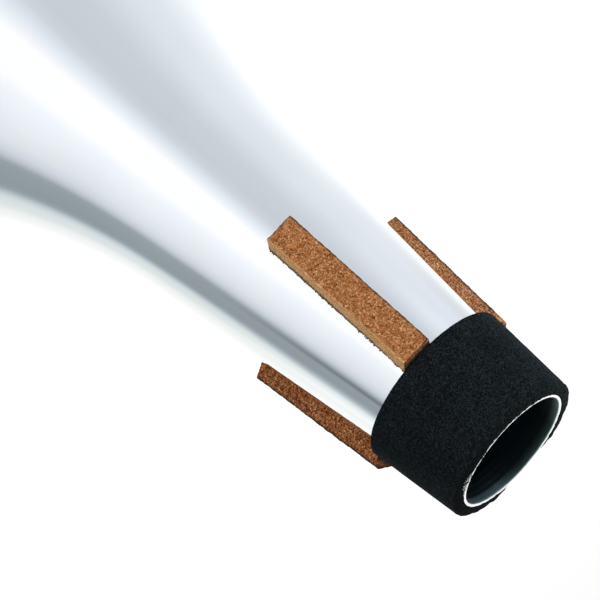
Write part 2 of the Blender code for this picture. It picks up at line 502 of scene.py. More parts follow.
@dataclass(frozen=True)
class PressedCork(Finish):
    """Pressed cork: small granules of many browns, with pores and specks of bark.

    Two marks of the mesh change it: the first makes it paler towards 1, as sawn cork is, and
    darker towards -1, which is painted shade; the second darkens worn edges and the foot, and
    paints shade low on the end at the sleeve.
    """

    granule: float = 0.00034
    cluster: float = 0.0012
    bending: float = 0.0007
    weights: Triple = (0.52, 0.10, 0.60)
    mean_tone: float = 0.60
    ground: Stops = (
        (0.0, (0.120, 0.037, 0.010)),
        (0.25, (0.240, 0.086, 0.024)),
        (0.5, (0.360, 0.142, 0.046)),
        (0.75, (0.488, 0.225, 0.092)),
        (1.0, (0.660, 0.370, 0.195)),
    )
    seam: Colour = (0.150, 0.052, 0.016)
    seam_spacing: float = 0.0011
    sawn: Colour = (0.850, 0.500, 0.228)
    # Painted shade, with a tint, for sides and ends whose sawn mark is negative.
    shaded_sides: Stops = (
        (0.0, (0.80, 0.68, 0.65)),
        (0.5, (0.84, 0.91, 1.12)),
        (1.0, WHITE),
    )
    dark_contrast: float = 1.6
    rust: Colour = (0.340, 0.090, 0.028)
    amber: Colour = (0.440, 0.160, 0.025)
    speck: Colour = (0.058, 0.020, 0.003)
    # Grime on worn edges, the darker foot, and painted shade on the end at the sleeve.
    grime_and_shade: Colour = (0.035, 0.028, 0.018)

    def inputs(self, wiring: Wiring, place: Socket) -> dict[str, object]:
        """A ground face of mixed browns, changed by the two marks.

        Args:
            wiring: The material's tree.
            place: The object coordinates.

        Returns:
            The values or sockets by input name.
        """
        bend = wiring.vector("SUBTRACT", wiring.noise(place, 1500.0, 2.0, "Color"), (0.5,) * 3)
        bent = wiring.vector("ADD", place, wiring.scaled(bend, self.bending))
        fine, coarse = (
            wiring.split(wiring.cells(bent, 1.0 / size)["Color"])[0]
            for size in (self.granule, self.cluster)
        )
        small = wiring.noise(place, 2600.0, 2.0)
        shares = zip((fine, coarse, small), self.weights)
        mixed = wiring.total(*(wiring.product(tone, weight) for tone, weight in shares))
        colour = wiring.ramp(wiring.remap(mixed, (0.25, 0.95), smooth=False), self.ground)
        edges = wiring.cells(bent, 1.0 / self.seam_spacing, Feature.EDGE)["Distance"]
        broken = wiring.remap(small, (0.46, 0.60), (0.55, 0.0))
        line = wiring.product(wiring.remap(edges, (0.03, 0.13), FALLING), broken)
        colour = wiring.mix(line, colour, self.seam)
        for offset, tint, most in ((0.0, self.rust, 0.50), (3.7, self.amber, 0.60)):
            moved = wiring.vector("ADD", place, (offset, 0.0, 0.0))
            share = wiring.remap(wiring.noise(moved, 420.0, 2.0), (0.58, 0.72), (0.0, most))
            colour = wiring.mix(share, colour, tint)
        sawn, worn = (
            wiring.node("ShaderNodeAttribute", attribute_name=mark.value).outputs["Fac"]
            for mark in (Mark.SAWN, Mark.WORN)
        )
        paler = wiring.scaled(self.sawn, wiring.remap(mixed, (0.32, 0.92), (0.64, 1.16), False))
        colour = wiring.mix(wiring.remap(sawn, RISING, (0.0, 0.85), False), colour, paler)
        # A negative sawn mark darkens and tints sides and ends as painted shade.
        side_shade = wiring.ramp(wiring.remap(sawn, (-1.0, 0.0), smooth=False), self.shaded_sides)
        darker = wiring.remap(sawn, (-1.0, 0.0), FALLING, False)
        uneven = wiring.product(
            wiring.math("SUBTRACT", mixed, self.mean_tone), darker, self.dark_contrast
        )
        side_shade = wiring.scaled(side_shade, wiring.total(uneven, 1.0))
        colour = wiring.vector("MULTIPLY", colour, side_shade)
        bark = wiring.cells(bent, 1650.0)
        most = wiring.remap(sawn, (-1.0, 1.0), (0.80, 0.92), False)
        rare = wiring.math("GREATER_THAN", wiring.split(bark["Color"])[1], most)
        near = wiring.remap(bark["Distance"], (0.30, 0.50), FALLING)
        speck = wiring.product(near, rare, 0.80)
        colour = wiring.mix(speck, colour, self.speck)
        # Grime at the edges, the darker foot, and painted shade on the end at the sleeve.
        ragged = wiring.total(worn, wiring.remap(small, NOISE_SPAN, (-0.45, 0.45), False))
        dirt = wiring.remap(ragged, (0.35, 0.75), (0.0, 0.9))
        return {
            "Base Color": wiring.mix(dirt, colour, self.grime_and_shade),
            "Roughness": 0.88,
            "Specular IOR Level": 0.08,
            "Normal": wiring.bump(wiring.math("SUBTRACT", mixed, speck), 0.5, 0.00010),
        }


@dataclass(frozen=True)
class DriedGlue(Finish):
    """Dried contact glue, grey-white and a little glossy, with dirt in its hollows."""

    colour: Colour = (0.60, 0.66, 0.63)
    dirt: Colour = (0.13, 0.125, 0.115)

    def inputs(self, wiring: Wiring, place: Socket) -> dict[str, object]:
        """A pale skin, dirty in patches."""
        patches = wiring.remap(wiring.noise(place, 1500.0, 4.0), (0.42, 0.62))
        return {"Base Color": wiring.mix(patches, self.colour, self.dirt), "Roughness": 0.55}


POLISHED = SpunAluminium("spun_aluminium")
RIM_POLISH = SpunAluminium("worn_mouth_edge", colour=(0.70, 0.755, 0.735), roughness=0.24)
PLATE_POLISH = SpunAluminium("spun_aluminium_plate", roughness=0.12, across_disc=True)
FOAM = FoamRubber("black_foam_rubber")
CORK = PressedCork("pressed_cork")
GLUE = DriedGlue("dried_glue")


# Outlines and meshes


def spoke(azimuth: float) -> Vector:
    """The unit vector out from the axis at an azimuth in radians."""
    return Vector((math.cos(azimuth), math.sin(azimuth), 0.0))


def held(value: float, least: float = 0.0, most: float = 1.0) -> float:
    """A value held between two ends."""
    return max(least, min(most, value))


def direction(heading: np.ndarray) -> np.ndarray:
    """Unit vectors in the (radius, height) plane for headings in degrees from straight down."""
    angle = np.radians(heading)
    return np.stack([np.sin(angle), -np.cos(angle)], axis=-1)


@dataclass(frozen=True)
class Stretch:
    """A part of a turned outline: an arc of some radius and turn, or a straight length."""

    length: float
    turn_degrees: float = 0.0

    @staticmethod
    def arc(radius: float, turn_degrees: float) -> Stretch:
        """An arc that turns outwards where its turn is positive."""
        return Stretch(radius * math.radians(abs(turn_degrees)), turn_degrees)


def trace(
    start: Sequence[float],
    heading: float,
    stretches: Sequence[Stretch],
    spacing: float,
    easing: float = 0.0,
) -> np.ndarray:
    """The points of an outline.

    Args:
        start: The first point's radius and height.
        heading: The first direction, in degrees from straight down towards the outside.
        stretches: The outline's parts in order.
        spacing: The distance between points.
        easing: The length over which a change of curvature is eased, so that reflections flow.

    Returns:
        One point a row.
    """
    start = np.asarray(start)
    ends = np.cumsum([0.0] + [part.length for part in stretches])
    headings = heading + np.cumsum([0.0] + [part.turn_degrees for part in stretches])
    count = max(1, math.ceil(ends[-1] / spacing))
    step = ends[-1] / count
    plain = np.interp((np.arange(count) + 0.5) * step, ends, headings)
    eased = plain
    window = max(1, round(easing / step)) | 1
    if window > 1:
        kernel = np.ones(window) / window
        for _ in range(2):
            eased = np.convolve(np.pad(eased, window // 2, mode="edge"), kernel, mode="valid")
    points = np.vstack([start, start + np.cumsum(step * direction(eased), axis=0)])
    if window > 1:
        end = start + (step * direction(plain)).sum(axis=0)
        points += np.linspace(0.0, 1.0, count + 1)[:, None] * (end - points[-1])
    return points


def joined(*lines: np.ndarray) -> np.ndarray:
    """Outlines that follow each other, without the points that they share.

    Args:
        lines: The outlines in order.

    Returns:
        The whole outline.
    """
    kept = [lines[0]]
    for line in lines[1:]:
        kept.append(line[1:] if np.allclose(line[0], kept[-1][-1], atol=SAME_POINT) else line)
    return np.vstack(kept)


def beside(line: np.ndarray, distance: float) -> np.ndarray:
    """A line moved sideways.

    Args:
        line: The line's points.
        distance: How far it moves, towards the axis where it runs down.

    Returns:
        The moved points.
    """
    ahead = np.vstack([line[1:] - line[:-1], line[-1:] - line[-2:-1]])
    behind = np.vstack([ahead[:1], ahead[:-1]])
    sides = []
    for run in (behind, ahead):
        side = np.stack([run[:, 1], -run[:, 0]], axis=-1)
        sides.append(side / np.linalg.norm(side, axis=1, keepdims=True))
    mitre = sides[0] + sides[1]
    mitre /= np.linalg.norm(mitre, axis=1, keepdims=True)
    return line + mitre * (distance / (mitre * sides[0]).sum(axis=1, keepdims=True))


def rounded_loop(loop: np.ndarray, corners: dict[int, float], steps: int) -> np.ndarray:
    """A closed outline with some of its corners rounded.

    Args:
        loop: The outline's points.
        corners: The radius for each corner, by its index.
        steps: The points of each rounding.

    Returns:
        The new outline.
    """
    points: list[np.ndarray] = []
    for index, corner in enumerate(loop):
        if index not in corners:
            points.append(corner)
            continue
        radius = corners[index]
        back = loop[index - 1] - corner
        ahead = loop[(index + 1) % len(loop)] - corner
        back, ahead = back / np.linalg.norm(back), ahead / np.linalg.norm(ahead)
        half = math.acos(float(np.clip(back @ ahead, -1.0, 1.0))) / 2
        reach = radius / math.tan(half)
        centre = corner + (back + ahead) / np.linalg.norm(back + ahead) * radius / math.sin(half)
        first, last = corner + back * reach - centre, corner + ahead * reach - centre
        turn = math.pi - 2 * half
        for share in np.linspace(0.0, 1.0, steps):
            weights = (math.sin((1 - share) * turn), math.sin(share * turn))
            points.append(centre + (first * weights[0] + last * weights[1]) / math.sin(turn))
    return np.array(points)


def dressed(name: str, bm: bmesh.types.BMesh, materials: Sequence[Material] = ()) -> Thing:
    """An object from a bmesh.

    Args:
        name: The object's name.
        bm: The bmesh, which is used up.
        materials: The materials, in the order of the slots.

    Returns:
        The new object.
    """
    mesh = bpy.data.meshes.new(name)
    bm.to_mesh(mesh)
    bm.free()
    for material in materials:
        mesh.materials.append(material)
    made = bpy.data.objects.new(name, mesh)
    bpy.context.scene.collection.objects.link(made)
    return made


def path_mesh(name: str, points: Sequence[Vector]) -> Thing:
    """A mesh of edges that join points in order.

    Args:
        name: The object's name.
        points: The points.

    Returns:
        The new object.
    """
    bm = bmesh.new()
    vertices = [bm.verts.new(point) for point in points]
    for pair in zip(vertices, vertices[1:]):
        bm.edges.new(pair)
    return dressed(name, bm)


def turned_mesh(
    name: str,
    outline: np.ndarray,
    segments: int,
    closed: bool,
    materials: Sequence[Material],
    slot_of: Callable[[int], int] = lambda edge: 0,
) -> Thing:
    """A body of revolution.

    Args:
        name: The object's name.
        outline: The points of the outline. A point on the axis becomes a pole.
        segments: The steps round the axis.
        closed: Whether the outline's last point joins its first.
        materials: The materials, in the order of the slots.
        slot_of: Gives the material slot for each of the outline's edges.

    Returns:
        The new object, with its faces pointing out.
    """
    bm = bmesh.new()
    turns = np.arange(segments) * math.tau / segments
    spokes = [(math.cos(turn), math.sin(turn)) for turn in turns]
    rings = []
    for radius, height in outline:
        if radius < SAME_POINT:
            rings.append([bm.verts.new((0.0, 0.0, height))] * segments)
        else:
            rings.append([bm.verts.new((radius * x, radius * y, height)) for x, y in spokes])
    pairs = list(zip(rings, rings[1:]))
    if closed:
        pairs.append((rings[-1], rings[0]))
    for edge, (low, high) in enumerate(pairs):
        for step in range(segments):
            ahead = (step + 1) % segments
            corners = [low[step], high[step], high[ahead], low[ahead]]
            face = bm.faces.new(list(dict.fromkeys(corners)))
            face.material_index = slot_of(edge)
            face.smooth = True
    bmesh.ops.recalc_face_normals(bm, faces=bm.faces)
    return dressed(name, bm, materials)


# Geometry Nodes


class GeometryRecipe:
    """A Geometry Nodes tree with named inputs, which is run once on an object."""

    def __init__(self, name: str, inputs: dict[str, float]) -> None:
        """Builds the tree's interface.

        Args:
            name: The tree's name.
            inputs: The value of each input, by its name. An int makes a whole number's socket.
        """
        self.tree = bpy.data.node_groups.new(name, "GeometryNodeTree")
        self.wiring = Wiring(self.tree)
        self.values = {}
        new_socket = self.tree.interface.new_socket
        new_socket("Geometry", in_out="INPUT", socket_type="NodeSocketGeometry")
        for title, value in inputs.items():
            kind = "NodeSocketInt" if isinstance(value, int) else "NodeSocketFloat"
            socket = new_socket(title, in_out="INPUT", socket_type=kind)
            self.values[socket.identifier] = value
        new_socket("Geometry", in_out="OUTPUT", socket_type="NodeSocketGeometry")
        self.source = self.wiring.node("NodeGroupInput")
        self.place = self.wiring.node("GeometryNodeInputPosition").outputs[0]

    def given(self, title: str) -> Socket:
        """The socket of a named input."""
        return self.source.outputs[title]

    def random(self, least: float, most: float) -> Socket:
        """Random vectors whose three parts lie between two numbers."""
        inputs = {0: (least,) * 3, 1: (most,) * 3, "Seed": self.given("Seed")}
        kind = "FLOAT_VECTOR"
        return self.wiring.node("FunctionNodeRandomValue", inputs, data_type=kind).outputs[0]

    def moved(self, geometry: Socket, offset: Socket) -> Socket:
        """A geometry whose points are moved."""
        inputs = {"Geometry": geometry, "Offset": offset}
        return self.wiring.node("GeometryNodeSetPosition", inputs).outputs[0]

    def raise_surface(self, height: Socket, finish: Finish) -> None:
        """Ends the tree with the given surface raised along its normals."""
        normal = self.wiring.node("GeometryNodeInputNormal").outputs[0]
        offset = self.wiring.scaled(normal, height)
        self.deliver(self.moved(self.given("Geometry"), offset), finish)

    def deliver(self, geometry: Socket, finish: Finish) -> None:
        """Ends the tree: instances become real, and the finish is set.

        Args:
            geometry: The geometry to hand out.
            finish: Its finish.
        """
        real = self.wiring.node("GeometryNodeRealizeInstances", {"Geometry": geometry})
        inputs = {"Geometry": real.outputs[0]}
        coated = self.wiring.node("GeometryNodeSetMaterial", inputs)
        coated.inputs["Material"].default_value = finish.material
        self.wiring.node("NodeGroupOutput", {0: coated.outputs[0]})

    def run(self, thing: Thing) -> Thing:
        """Runs the tree on an object, whose mesh becomes the result.

        Args:
            thing: The object.

        Returns:
            The same object, without a modifier.
        """
        modifier = thing.modifiers.new(self.tree.name, "NODES")
        modifier.node_group = self.tree
        for identifier, value in self.values.items():
            modifier[identifier] = value
        graph = bpy.context.evaluated_depsgraph_get()
        mesh = bpy.data.meshes.new_from_object(thing.evaluated_get(graph))
        thing.modifiers.clear()
        old, thing.data = thing.data, mesh
        bpy.data.meshes.remove(old)
        return thing


def cork_relief(granule: float, relief: float, crumble: float) -> GeometryRecipe:
    """A recipe that raises each granule of a cork strip by its own height.

    Args:
        granule: The granules' size.
        relief: How far a granule stands out or in.
        crumble: How far larger unevenness reaches.

    Returns:
        The recipe.
    """
    inputs = {"Granule": granule, "Relief": relief, "Crumble": crumble}
    recipe = GeometryRecipe("cork granules", inputs)
    wiring, place = recipe.wiring, recipe.place
    scale = wiring.math("DIVIDE", 1.0, recipe.given("Granule"))
    tone = wiring.split(wiring.cells(place, scale)["Color"])[2]
    edges = wiring.cells(place, scale, Feature.EDGE)["Distance"]
    own = wiring.math("SUBTRACT", tone, 0.5)
    seam = wiring.remap(edges, (0.0, 0.14), (-1.0, 0.0))
    swell = wiring.math("SUBTRACT", wiring.noise(place, 480.0, 4.0), 0.52)
    height = wiring.total(
        wiring.product(own, recipe.given("Relief")),
        wiring.product(seam, recipe.given("Relief")),
        wiring.product(swell, recipe.given("Crumble")),
    )
    recipe.raise_surface(height, CORK)
    return recipe


def foam_pores(
    pore: float, depth: float, swelling: float, frayed_from: float, fraying: float
) -> GeometryRecipe:
    """A recipe that opens the pores of the foam's skin, and frays its front edge.

    Args:
        pore: The size of a pore's cell.
        depth: The depth of the deepest pores.
        swelling: How far larger unevenness reaches.
        frayed_from: The height from which the foam is frayed.
        fraying: How far the fraying reaches.

    Returns:
        The recipe.
    """
    inputs = {
        "Pore": pore,
        "Depth": depth,
        "Swelling": swelling,
        "Frayed from": frayed_from,
        "Fraying": fraying,
    }
    recipe = GeometryRecipe("foam pores", inputs)
    wiring, place = recipe.wiring, recipe.place
    cells = wiring.cells(place, wiring.math("DIVIDE", 1.0, recipe.given("Pore")))
    deepest = wiring.product(wiring.split(cells["Color"])[0], recipe.given("Depth"))
    hollow = wiring.remap(cells["Distance"], (0.10, 0.55), (-1.0, 0.0))
    swell = wiring.math("SUBTRACT", wiring.noise(place, 420.0, 3.0), 0.5)
    torn = wiring.math("SUBTRACT", wiring.noise(place, 650.0, 4.0), 0.53)
    above = wiring.math("SUBTRACT", wiring.split(place)["Z"], recipe.given("Frayed from"))
    frayed = wiring.product(recipe.given("Fraying"), wiring.remap(above, (0.0, 0.0012)))
    height = wiring.total(
        wiring.product(hollow, deepest),
        wiring.product(swell, recipe.given("Swelling")),
        wiring.product(torn, frayed),
    )
    recipe.raise_surface(height, FOAM)
    return recipe


@dataclass(frozen=True)
class CrumbSizes:
    """How crumbs lie along a path: their spacing, radii and scatter."""

    spacing: float
    least: float
    largest: float
    scatter: float


def crumbs_on_path(name: str, sizes: CrumbSizes, seed: int, finish: Finish) -> GeometryRecipe:
    """A recipe that lays uneven crumbs along the edges of a mesh.

    Args:
        name: The tree's name.
        sizes: The crumbs' sizes.
        seed: The seed of what is random.
        finish: The crumbs' finish.

    Returns:
        The recipe.
    """
    inputs = {
        "Spacing": sizes.spacing,
        "Least": sizes.least,
        "Largest": sizes.largest,
        "Scatter": sizes.scatter,
        "Seed": seed,
    }
    recipe = GeometryRecipe(name, inputs)
    wiring = recipe.wiring
    path = wiring.node("GeometryNodeMeshToCurve", {"Mesh": recipe.given("Geometry")})
    inputs = {"Curve": path.outputs[0], "Length": recipe.given("Spacing")}
    points = wiring.node("GeometryNodeResampleCurve", inputs, mode="LENGTH").outputs[0]
    scatter = wiring.scaled(recipe.random(-1.0, 1.0), recipe.given("Scatter"))
    ball = wiring.node("GeometryNodeMeshIcoSphere", {"Radius": 1.0, "Subdivisions": 2})
    inputs = {2: recipe.given("Least"), 3: recipe.given("Largest"), "Seed": recipe.given("Seed")}
    size = wiring.node("FunctionNodeRandomValue", inputs, data_type="FLOAT").outputs[1]
    inputs = {
        "Points": recipe.moved(points, scatter),
        "Instance": ball.outputs[0],
        "Rotation": recipe.random(0.0, 6.283),
        "Scale": wiring.scaled(recipe.random(0.6, 1.25), size),
    }
    laid = wiring.node("GeometryNodeInstanceOnPoints", inputs).outputs[0]
    real = wiring.node("GeometryNodeRealizeInstances", {"Geometry": laid}).outputs[0]
    lumps = wiring.noise(recipe.place, 2200.0, 1.0, "Color")
    push = wiring.scaled(wiring.vector("SUBTRACT", lumps, (0.5,) * 3), recipe.given("Least"))
    recipe.deliver(recipe.moved(real, push), finish)
    return recipe


# The mute's sub-assemblies


@dataclass
class Neck:
    """The straight tapered neck, which the sleeve and the corks sit on."""

    mouth_height: float
    mouth_radius: float = 0.018
    length: float = 0.1050
    angle_degrees: float = 5.71

    def radius(self, depth: float) -> float:
        """The outer radius at a depth below the mouth."""
        return self.mouth_radius + depth * math.tan(math.radians(self.angle_degrees))

    def point(self, azimuth: float, depth: float, out: float = 0.0) -> Vector:
        """A point at an azimuth in radians, some distance out from the neck's surface."""
        middle = Vector((0.0, 0.0, self.mouth_height - depth))
        return middle + spoke(azimuth) * (self.radius(depth) + out)


@dataclass
class Shell:
    """The spun shell with its neck, flare, bowl, foot and hem."""

    neck: Neck
    wall: float = 0.0009
    flare_radius: float = 0.190
    flare_angle_degrees: float = 31.0
    shoulder_radius: float = 0.058
    bowl_radius: float = 0.030
    bowl_angle_degrees: float = 60.0
    foot_fillet: float = 0.0022
    foot_drop: float = 0.0020
    hem_bend: float = 0.0003
    hem_height: float = 0.0032
    hem_slot: float = 0.0016
    easing: float = 0.014
    rounding: float = 0.00022
    rounding_steps: int = 5
    body_spacing: float = 0.0017
    foot_spacing: float = 0.00026
    segments: int = 240
    nick_depth: float = 0.00016
    nick_scales: Span = (11.0, 47.0)
    nick_from: float = 0.12
    narrow_share: float = 0.35

    def body_line(self) -> np.ndarray:
        """The outer line from the mouth to the bottom of the bowl.

        Returns:
            The line's points.
        """
        stretches = [
            Stretch(self.neck.length),
            Stretch.arc(self.flare_radius, self.flare_angle_degrees - self.neck.angle_degrees),
            Stretch.arc(self.shoulder_radius, -self.flare_angle_degrees),
            Stretch.arc(self.bowl_radius, -self.bowl_angle_degrees),
        ]
        start = (self.neck.mouth_radius, self.neck.mouth_height)
        return trace(start, self.neck.angle_degrees, stretches, self.body_spacing, self.easing)

    def foot_line(self, start: np.ndarray) -> np.ndarray:
        """The outer line of the foot and its hem.

        Args:
            start: The bottom of the bowl.

        Returns:
            The line's points, up to the hem's lip.
        """
        bend = self.hem_bend + self.wall
        stretches = [
            Stretch.arc(self.foot_fillet, self.bowl_angle_degrees),
            Stretch(self.foot_drop),
            Stretch.arc(bend, -90.0),
            Stretch(self.hem_slot - 2 * self.hem_bend),
            Stretch.arc(bend, -90.0),
            Stretch(self.hem_height - bend),
        ]
        return trace(start, -self.bowl_angle_degrees, stretches, self.foot_spacing)

    def build(self) -> Thing:
        """The shell, polished outside and dull inside, with a worn edge at the mouth.

        Returns:
            The shell.
        """
        body = self.body_line()
        outer = joined(body, self.foot_line(body[-1]))
        loop = np.vstack([outer, beside(outer, self.wall)[::-1]])
        lip = len(outer)
        corners = dict.fromkeys((0, lip - 1, lip, len(loop) - 1), self.rounding)
        outline = rounded_loop(loop, corners, self.rounding_steps)
        bore_from = lip + 3 * (self.rounding_steps - 1)
        bore_to = len(outline) - self.rounding_steps

        def slot_of(edge: int) -> int:
            """Slot 1 in the bore, slot 2 on the mouth's inner edge, and slot 0 outside."""
            if edge < bore_from or edge == len(outline) - 1:
                return 0
            return 1 if edge < bore_to else 2

        bore = DullBore("dull_aluminium_bore", mouth_height=self.neck.mouth_height)
        materials = (POLISHED.material, bore.material, RIM_POLISH.material)
        shell = turned_mesh("spun_shell", outline, self.segments, True, materials, slot_of)
        self.wear_rim(shell)
        return shell

    def wear_rim(self, shell: Thing) -> None:
        """Dents the mouth's edge slightly, as handling does.

        Args:
            shell: The shell.
        """
        reach = 3 * self.rounding
        for vertex in shell.data.vertices:
            depth = self.neck.mouth_height - vertex.co.z
            if depth > reach:
                continue
            place = spoke(math.atan2(vertex.co.y, vertex.co.x))
            wide, narrow = (noise.noise(place * scale) for scale in self.nick_scales)
            dent = max(0.0, wide - self.nick_from) + self.narrow_share * max(0.0, narrow)
            vertex.co.z -= self.nick_depth * dent * (1.0 - depth / reach)


@dataclass
class BasePlate:
    """The pressed plate that closes the wide end, with its flange in the hem."""

    shell: Shell
    foot_radius: float
    wall: float = 0.0010
    gap: float = 0.0003
    land: float = 0.0070
    step_bend: float = 0.0020
    step_angle_degrees: float = 35.0
    step_run: float = 0.0008
    dome_angle_degrees: float = 3.5
    segments: int = 192
    spacing: float = 0.0004
    dome_spacing: float = 0.0030

    def upper_line(self) -> np.ndarray:
        """The plate's upper line from its centre to the lower end of its flange.

        Returns:
            The line's points.
        """
        low = self.shell.wall + self.gap
        bend = self.wall + self.gap
        stretches = [
            Stretch(self.shell.hem_height - low),
            Stretch.arc(bend, 90.0),
            Stretch(self.land),
            Stretch.arc(self.step_bend, -self.step_angle_degrees),
            Stretch(self.step_run),
            Stretch.arc(self.step_bend, self.step_angle_degrees - self.dome_angle_degrees),
        ]
        rim = trace((self.foot_radius - low, low), 180.0, stretches, self.spacing)
        radius = rim[-1][0] / math.sin(math.radians(self.dome_angle_degrees))
        stretches = [Stretch.arc(radius, self.dome_angle_degrees)]
        dome = trace(rim[-1], 270.0 - self.dome_angle_degrees, stretches, self.dome_spacing)
        dome[-1][0] = 0.0
        return joined(rim, dome)[::-1]

    def build(self) -> Thing:
        """The plate, polished on both sides.

        Returns:
            The plate.
        """
        upper = self.upper_line()
        lower = beside(upper, self.wall)
        lower[0][0] = 0.0
        outline = np.vstack([upper, lower[::-1]])
        materials = (PLATE_POLISH.material,)
        return turned_mesh("pressed_base_plate", outline, self.segments, False, materials)


@dataclass
class Sleeve:
    """The foam sleeve round the mouth end of the neck."""

    neck: Neck
    setback: float = 0.0004
    length: float = 0.0273
    mouth_wall: float = 0.0030
    back_wall: float = 0.0024
    front_lip: float = -0.00016
    sag: float = 0.0011
    sag_azimuth_degrees: float = 94.0
    sag_reach: float = 0.004
    sag_from: float = 0.83
    sag_over: float = 0.20
    lip_rounding: float = 0.00015
    mouth_rounding: float = 0.00045
    back_rounding: float = 0.0005
    seat: float = 0.0003
    gap: float = 0.00008
    frayed_depth: float = 0.0026
    segments: int = 460
    spacing: float = 0.0003
    bore_spacing: float = 0.004

    @property
    def back_depth(self) -> float:
        """The depth of the sleeve's back face below the mouth."""
        return self.setback + self.length

    def front_depth(self, out: float) -> float:
        """The depth of the slanting front face at a distance out from the neck."""
        share = (out - self.gap) / (self.seat + self.mouth_wall - self.gap)
        return self.front_lip + (self.setback - self.front_lip) * share

    def corner(self, depth: float, out: float) -> np.ndarray:
        """A corner of the outline, by its depth and its distance from the neck."""
        return np.array([self.neck.radius(depth) + out, self.neck.mouth_height - depth])

    def build(self) -> Thing:
        """The sleeve, whose front face slants up to the mouth's edge, with open pores.

        Returns:
            The sleeve.
        """
        loop = np.array(
            [
                self.corner(self.front_lip, self.gap),
                self.corner(self.setback, self.seat + self.mouth_wall),
                self.corner(self.back_depth, self.seat + self.back_wall),
                self.corner(self.back_depth, self.gap),
            ]
        )
        rounding = {0: self.lip_rounding, 1: self.mouth_rounding, 2: self.back_rounding}
        outline = self.resampled(rounded_loop(loop, rounding, steps=6))
        materials = (FOAM.material,)
        sleeve = turned_mesh("porous_foam_sleeve", outline, self.segments, True, materials)
        self.pull_back(sleeve)
        pores = foam_pores(
            pore=0.00062,
            depth=0.00010,
            swelling=0.00014,
            frayed_from=self.neck.mouth_height - self.frayed_depth,
            fraying=0.0007,
        )
        return pores.run(sleeve)

    def resampled(self, loop: np.ndarray) -> np.ndarray:
        """The outline with even points.

        Args:
            loop: The outline, which ends with the bore.

        Returns:
            The outline with a point every few tenths of a millimetre, and few in the bore.
        """
        points = []
        for index, start in enumerate(loop):
            run = loop[(index + 1) % len(loop)] - start
            spacing = self.bore_spacing if index == len(loop) - 1 else self.spacing
            count = max(1, round(float(np.linalg.norm(run)) / spacing))
            points += [start + run * step / count for step in range(count)]
        return np.array(points)

    def pull_back(self, sleeve: Thing) -> None:
        """Lets the front edge lie a little further back on one side, as it was pulled on.

        Args:
            sleeve: The sleeve.
        """
        middle = math.radians(self.sag_azimuth_degrees)
        for vertex in sleeve.data.vertices:
            near = 1.0 - (self.neck.mouth_height - vertex.co.z) / self.sag_reach
            facing = math.cos(math.atan2(vertex.co.y, vertex.co.x) - middle)
            share = held((facing - self.sag_from) / self.sag_over)
            vertex.co.z -= self.sag * max(0.0, near) * share * share * (3.0 - 2.0 * share)


